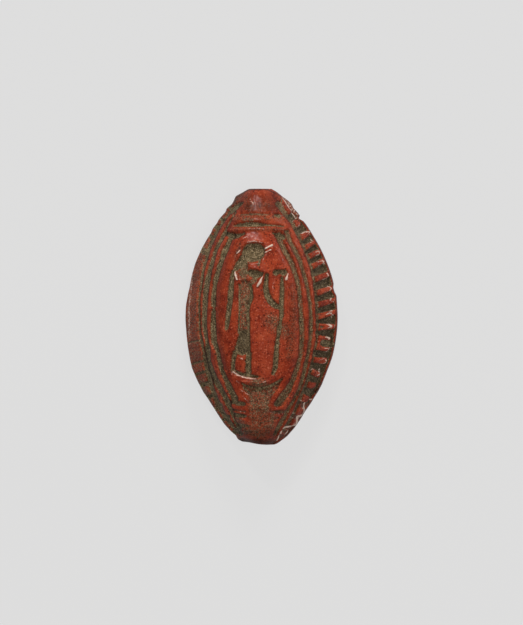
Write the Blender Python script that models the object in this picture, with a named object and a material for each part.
"""Cowroid seal: a pierced stone amulet in the shape of a cowrie shell, carved on its back.

One solid. +X is across the seal, +Y runs along the string hole and +Z points out of the carved back.
The origin is in the middle of the flat underside.
"""

import math

import bmesh
import bpy
import numpy as np
from mathutils import Matrix

MM = 0.001

# The blank, before any carving
LENGTH = 20.0 * MM
WIDTH = 11.9 * MM
CROWN_HEIGHT = 6.2 * MM
RIM_HEIGHT = 1.9 * MM
FOOT_INSET = 0.3 * MM
END_WIDTH = 2.8 * MM
END_HEIGHT = 3.9 * MM
OUTLINE_FULLNESS = 1.95
CROWN_FULLNESS = 2.1
FLANK_FULLNESS = 2.3
FOOT_FULLNESS = 4

# The string hole, drilled from end to end
HOLE_DIAMETER = 1.6 * MM
HOLE_WALL_BELOW = 1.1 * MM
HOLE_SIDES = 28

# The notched border that runs along both flanks
BORDER_WIDTH = 1.0 * MM
BORDER_REACH = 8.5 * MM
RIM_WIDTH = 0.12 * MM
TEETH_PER_SIDE = 23
TOOTH_SHARE_OF_PITCH = 0.52
NOTCH_DEPTHS = {"left": 0.18 * MM, "right": 0.26 * MM}
WORN_SMOOTH = {"side": "left", "from": -2.6 * MM, "to": 5.2 * MM, "fading over": 1.6 * MM}

# The two thin ridges of each side stand between three long grooves. A line that runs from
# end to end keeps its share of the half width, so that all of them draw together at the ends.
OUTER_GROOVE = {"share": 0.79, "radius": 0.13 * MM, "depth": 0.24 * MM, "top": 8.5 * MM, "bottom": -8.7 * MM}
INNER_GROOVE = {"share": 0.695, "radius": 0.16 * MM, "depth": 0.28 * MM, "top": 7.6 * MM, "bottom": -8.3 * MM}
BOTTOM_DRAW_IN = 0.09
DRAW_IN_FROM = -5.2 * MM

# The carver's middle line leans to the left towards the top
LEAN = 0.3 * MM
LEAN_AT = 6.8 * MM
LEAN_FULLNESS = 1.5

# The oval field in the middle, rounded at its top and drawn out below
FIELD_HALF_WIDTH = 3.42 * MM
FIELD_TOP_LENGTH = 6.75 * MM
FIELD_TOP_OPENING = 6.42 * MM
FIELD_TAIL_LENGTH = 8.2 * MM
FIELD_TAIL_END = 6.9 * MM
FIELD_TOP_FULLNESS = 2.4
FIELD_TAIL_FULLNESS = 2.75
FIELD_GROOVE_RADIUS = 0.17 * MM
FIELD_GROOVE_DEPTH = 0.36 * MM
LIP_Y = -5.32 * MM
LIP_RISE = 1.5 * MM
TAIL_DEPTH = 0.5 * MM

# The cross grooves that leave raised bars above and below the field
CROSS_GROOVES = (
    {"y": 7.95 * MM, "reach": 1.45 * MM, "radius": 0.13 * MM, "depth": 0.16 * MM},
    {"y": 7.17 * MM, "reach": 1.95 * MM, "radius": 0.16 * MM, "depth": 0.27 * MM},
    {"y": -7.72 * MM, "reach": 1.85 * MM, "radius": 0.19 * MM, "depth": 0.22 * MM},
    {"y": -8.48 * MM, "reach": 1.45 * MM, "radius": 0.16 * MM, "depth": 0.18 * MM},
)

# The standing figure, sunk into the field. Its places are shares of its height: across from
# the middle, and up from the soles.
FIGURE_HEIGHT = 10.1 * MM
FIGURE_FOOT_Y = -4.65 * MM
FIGURE_DEPTH = 0.34 * MM
CARVED_WALL = 0.2 * MM
FIGURE_STROKES = (
    # (what it is, share of the full depth, [(across, up, radius), ...])
    ("wig", 1.2, [(-0.027, 0.943, 0.072), (-0.077, 0.912, 0.062), (-0.144, 0.846, 0.033)]),
    ("shoulder", 0.75, [(-0.124, 0.838, 0.031), (-0.083, 0.776, 0.035), (-0.077, 0.668, 0.039)]),
    ("upper arm", 1.1, [(-0.04, 0.796, 0.025), (0.011, 0.773, 0.029), (0.054, 0.776, 0.019)]),
    ("forearm", 1.0, [(0.076, 0.769, 0.018), (0.081, 0.691, 0.02), (0.11, 0.614, 0.022),
                      (0.152, 0.563, 0.022), (0.197, 0.536, 0.018)]),
    ("staff head", 1.1, [(0.153, 0.809, 0.019), (0.187, 0.796, 0.028), (0.227, 0.813, 0.017)]),
    ("staff", 0.9, [(0.204, 0.715, 0.015), (0.206, 0.552, 0.015), (0.185, 0.35, 0.014),
                    (0.163, 0.25, 0.017), (0.144, 0.033, 0.018)]),
    ("waist and kilt", 0.85, [(-0.079, 0.676, 0.04), (-0.086, 0.358, 0.039),
                              (-0.097, 0.257, 0.049), (-0.106, 0.195, 0.058)]),
    ("front edge", 1.3, [(-0.04, 0.668, 0.012), (-0.035, 0.598, 0.012), (-0.055, 0.529, 0.012),
                         (-0.057, 0.203, 0.012), (-0.055, 0.033, 0.018)]),
    ("back leg", 0.9, [(-0.158, 0.157, 0.018), (-0.175, 0.04, 0.017)]),
    ("back arm", 1.0, [(-0.183, 0.815, 0.015), (-0.189, 0.668, 0.017), (-0.214, 0.505, 0.018),
                       (-0.229, 0.37, 0.013)]),
    ("ground line", 0.7, [(-0.181, 0.037, 0.012), (-0.125, 0.017, 0.015), (0.005, 0.008, 0.012)]),
)

# How finely the carving is worked out, and how many flat faces are kept of it
STEP_ALONG = 0.06 * MM
STEPS_ACROSS = 220
FLANK_STEPS = 5
KEPT_FACES = 9200
TRIM_ALLOWANCE = 0.3 * MM

STONE_COLOUR = (0.30, 0.035, 0.02, 1.0)
STONE_ROUGHNESS = 0.35


def half_width(y):
    """Half the seal's width at each y: a pointed oval whose tips are cut off at the ends."""
    tip_y = LENGTH / 2 / (1 - END_WIDTH / WIDTH) ** (1 / OUTLINE_FULLNESS)
    return WIDTH / 2 * (1 - (np.abs(y) / tip_y) ** OUTLINE_FULLNESS)


def blank_height(x, y):
    """The height of the uncarved back above the underside."""
    crown = CROWN_HEIGHT - (CROWN_HEIGHT - END_HEIGHT) * (2 * np.abs(y) / LENGTH) ** CROWN_FULLNESS
    share = np.clip(np.abs(x) / half_width(y), 0, 1)
    return RIM_HEIGHT + (crown - RIM_HEIGHT) * (1 - share**FLANK_FULLNESS)


def blank_normal(x, y):
    """The outward normal of the uncarved back, from its slopes."""
    step = 0.01 * MM
    slope_x = (blank_height(x + step, y) - blank_height(x - step, y)) / (2 * step)
    slope_y = (blank_height(x, y + step) - blank_height(x, y - step)) / (2 * step)
    normal = np.stack([-slope_x, -slope_y, np.ones_like(x)], axis=-1)
    return normal / np.linalg.norm(normal, axis=-1, keepdims=True)


def smooth_step(value):
    value = np.clip(value, 0, 1)
    return value * value * (3 - 2 * value)


def stroke(x, y, path, depth, wall=CARVED_WALL):
    """The depth cut by a tool drawn along a path of (x, y, radius), measured half way down its wall."""
    deepest = np.zeros_like(x)
    for (ax, ay, a_radius), (bx, by, b_radius) in zip(path, path[1:]):
        run_x, run_y = bx - ax, by - ay
        along = ((x - ax) * run_x + (y - ay) * run_y) / (run_x**2 + run_y**2)
        along = np.clip(along, 0, 1)
        away = np.hypot(x - ax - along * run_x, y - ay - along * run_y)
        radius = a_radius + along * (b_radius - a_radius)
        deepest = np.maximum(deepest, depth * smooth_step((radius - away) / wall + 0.5))
    return deepest


def middle_line(y):
    """Where the carver's middle line lies at each y."""
    return -LEAN * np.clip(y / LEAN_AT, 0, 1) ** LEAN_FULLNESS


def long_groove(x, y, side, groove):
    """A groove that follows the outline at a share of the half width, from end to end."""
    stations = np.linspace(groove["bottom"], groove["top"], 40)
    draw_in = BOTTOM_DRAW_IN * smooth_step((DRAW_IN_FROM - stations) / (DRAW_IN_FROM - groove["bottom"]))
    places = middle_line(stations) + side * (groove["share"] - draw_in) * half_width(stations)
    path = [(px, py, groove["radius"]) for px, py in zip(places, stations)]
    return stroke(x, y, path, groove["depth"])


def field_half_width(y):
    """Half the width of the oval field: nearly an ellipse above its middle, drawn out below."""
    above = np.clip(y / FIELD_TOP_LENGTH, 0, 1)
    below = np.clip(-y / FIELD_TAIL_LENGTH, 0, 1)
    top = (1 - above**FIELD_TOP_FULLNESS) ** (1 / FIELD_TOP_FULLNESS)
    tail = 1 - below**FIELD_TAIL_FULLNESS
    return FIELD_HALF_WIDTH * np.where(y > 0, top, tail)


def field_groove(x, y, side):
    """One side of the groove round the oval field, open above and below where it meets the bars."""
    top_turn = math.asin(FIELD_TOP_OPENING / FIELD_TOP_LENGTH)
    below = -FIELD_TAIL_END * np.cos(np.linspace(0, math.pi / 2, 24))
    above = FIELD_TOP_LENGTH * np.sin(np.linspace(0, top_turn, 24)[1:])
    stations = np.concatenate([below, above])
    places = middle_line(stations) + side * field_half_width(stations)
    path = [(px, py, FIELD_GROOVE_RADIUS) for px, py in zip(places, stations)]
    return stroke(x, y, path, FIELD_GROOVE_DEPTH)


def cross_grooves(x, y):
    deepest = np.zeros_like(x)
    for groove in CROSS_GROOVES:
        ends = [(side * groove["reach"], groove["y"], groove["radius"]) for side in (-1, 1)]
        deepest = np.maximum(deepest, stroke(x, y, ends, groove["depth"]))
    return deepest


def sunk_tail(x, y):
    """The hollow below the field's lip, deepest right under the lip."""
    below_lip = LIP_Y + LIP_RISE * (x / FIELD_HALF_WIDTH) ** 2 - y
    inside = field_half_width(y) - 3 * FIELD_GROOVE_RADIUS - np.abs(x)
    fading = 1 - 0.7 * smooth_step(below_lip / (FIELD_TAIL_END + LIP_Y))
    walls = smooth_step(below_lip / CARVED_WALL) * smooth_step(inside / CARVED_WALL)
    ends = smooth_step((y + FIELD_TAIL_END) / CARVED_WALL)
    return TAIL_DEPTH * walls * fading * ends


def figure(x, y):
    """The sunk figure: a standing man in a round wig, holding a staff, on a ground line."""
    deepest = np.zeros_like(x)
    for _, share, points in FIGURE_STROKES:
        path = [
            (across * FIGURE_HEIGHT, FIGURE_FOOT_Y + up * FIGURE_HEIGHT, radius * FIGURE_HEIGHT)
            for across, up, radius in points
        ]
        deepest = np.maximum(deepest, stroke(x, y, path, share * FIGURE_DEPTH))
    return deepest


def border(x, y):
    """The notches of both flanks. They lie square to the edge and leave teeth between them."""
    stations = np.linspace(-LENGTH / 2, LENGTH / 2, 400)
    edge = half_width(stations)
    run = np.concatenate([[0], np.cumsum(np.hypot(np.diff(edge), np.diff(stations)))])
    slope = np.gradient(edge, stations)
    slope_here = np.interp(y, stations, slope)
    inset = half_width(y) - np.abs(x)
    foot_y = y - inset * slope_here / (1 + slope_here**2)
    from_edge = inset / np.sqrt(1 + slope_here**2)
    pitch = run[-1] / TEETH_PER_SIDE
    phase = np.interp(foot_y, stations, run) / pitch
    from_tooth = np.abs(phase - np.floor(phase) - 0.5) * pitch
    half_tooth = TOOTH_SHARE_OF_PITCH * pitch / 2
    notch = smooth_step((from_tooth - half_tooth) / CARVED_WALL + 0.5)
    width_here = BORDER_WIDTH * half_width(y) / half_width(0)
    middle = RIM_WIDTH + width_here / 2
    across = smooth_step((width_here / 2 - np.abs(from_edge - middle)) / CARVED_WALL)
    depth = np.where(x < 0, NOTCH_DEPTHS["left"], NOTCH_DEPTHS["right"])
    worn_middle = (WORN_SMOOTH["from"] + WORN_SMOOTH["to"]) / 2
    worn_reach = (WORN_SMOOTH["to"] - WORN_SMOOTH["from"]) / 2
    past_worn = smooth_step((np.abs(y - worn_middle) - worn_reach) / WORN_SMOOTH["fading over"])
    worn_side = x < 0 if WORN_SMOOTH["side"] == "left" else x > 0
    within_reach = smooth_step((BORDER_REACH - np.abs(y)) / CARVED_WALL)
    return depth * notch * across * within_reach * np.where(worn_side, past_worn, 1)


def carved_depth(x, y):
    """How deep the carving lies below the blank, everywhere on the back."""
    cuts = [border(x, y), cross_grooves(x, y), sunk_tail(x, y), figure(x, y)]
    for side in (-1, 1):
        cuts.append(long_groove(x, y, side, OUTER_GROOVE))
        cuts.append(long_groove(x, y, side, INNER_GROOVE))
        cuts.append(field_groove(x, y, side))
    return np.max(cuts, axis=0)


def section_points(stations):
    """The points of all cross sections, as rows of closed rings: over the back, then underneath."""
    share = np.linspace(-1, 1, STEPS_ACROSS + 1)
    y, share = np.meshgrid(stations, share, indexing="ij")
    x = share * half_width(y)
    points = np.stack([x, y, blank_height(x, y)], axis=-1)
    back = points - carved_depth(x, y)[..., None] * blank_normal(x, y)
    rim = half_width(stations)
    rows = []
    full_drop = RIM_HEIGHT + TRIM_ALLOWANCE
    for drop in full_drop * np.linspace(0, 1, FLANK_STEPS + 1)[1:] ** 0.5:
        inset = FOOT_INSET * (drop / RIM_HEIGHT) ** FOOT_FULLNESS
        rows.append(np.stack([rim - inset, stations, np.full_like(rim, RIM_HEIGHT - drop)], axis=-1))
    right = np.stack(rows, axis=1)
    left = right[:, ::-1] * (-1, 1, 1)
    return np.concatenate([back, right, left], axis=1)


def make_blank():
    """The carved body, a little too long and too thick until the trimming block squares it."""
    reach = LENGTH / 2 + TRIM_ALLOWANCE
    stations = np.linspace(-reach, reach, round(2 * reach / STEP_ALONG) + 1)
    rings = section_points(stations)
    bm = bmesh.new()
    rows = [[bm.verts.new(point) for point in ring] for ring in rings]
    for near, far in zip(rows, rows[1:]):
        for i in range(len(near)):
            j = (i + 1) % len(near)
            bm.faces.new((near[i], near[j], far[j], far[i]))
    bm.faces.new(rows[0][::-1])
    bm.faces.new(rows[-1])
    bmesh.ops.recalc_face_normals(bm, faces=bm.faces)
    bmesh.ops.triangulate(bm, faces=bm.faces)
    mesh = bpy.data.meshes.new("cowroid_seal")
    bm.to_mesh(mesh)
    bm.free()
    blank = bpy.data.objects.new("cowroid_seal", mesh)
    bpy.context.scene.collection.objects.link(blank)
    return blank


def make_helper(name, mesh_maker):
    """A hidden cutter, whose mesh mesh_maker fills."""
    bm = bmesh.new()
    mesh_maker(bm)
    mesh = bpy.data.meshes.new(name)
    bm.to_mesh(mesh)
    bm.free()
    helper = bpy.data.objects.new(name, mesh)
    helper.hide_render = True
    helper.display_type = "WIRE"
    bpy.context.scene.collection.objects.link(helper)
    return helper


def fill_trimming_block(bm):
    """The space that the finished seal lies in: square at both ends and flat underneath."""
    bmesh.ops.create_cube(bm, size=1)
    bmesh.ops.scale(bm, vec=(2 * WIDTH, LENGTH, 2 * CROWN_HEIGHT), verts=bm.verts)
    bmesh.ops.translate(bm, vec=(0, 0, CROWN_HEIGHT), verts=bm.verts)


def fill_drill(bm):
    """The drill for the string hole, along Y."""
    radius = HOLE_DIAMETER / 2
    bmesh.ops.create_cone(
        bm, cap_ends=True, segments=HOLE_SIDES, radius1=radius, radius2=radius, depth=1.5 * LENGTH
    )
    quarter_turn = Matrix.Rotation(math.pi / 2, 3, "X")
    bmesh.ops.rotate(bm, cent=(0, 0, 0), matrix=quarter_turn, verts=bm.verts)
    bmesh.ops.translate(bm, vec=(0, 0, HOLE_WALL_BELOW + radius), verts=bm.verts)


def cut_with(solid, helper, operation):
    boolean = solid.modifiers.new(helper.name, "BOOLEAN")
    boolean.operation = operation
    boolean.solver = "EXACT"
    boolean.object = helper


def stone_material():
    material = bpy.data.materials.new("red_stone")
    material.use_nodes = True
    shader = material.node_tree.nodes["Principled BSDF"]
    shader.inputs["Base Color"].default_value = STONE_COLOUR
    shader.inputs["Roughness"].default_value = STONE_ROUGHNESS
    shader.inputs["Metallic"].default_value = 0.0
    return material


def main():
    for leftover in list(bpy.data.objects):
        bpy.data.objects.remove(leftover)
    seal = make_blank()
    seal.data.materials.append(stone_material())
    thinning = seal.modifiers.new("fewer_faces", "DECIMATE")
    thinning.ratio = min(1.0, KEPT_FACES / len(seal.data.polygons))
    cut_with(seal, make_helper("trimming_block", fill_trimming_block), "INTERSECT")
    cut_with(seal, make_helper("string_hole_drill", fill_drill), "DIFFERENCE")


main()
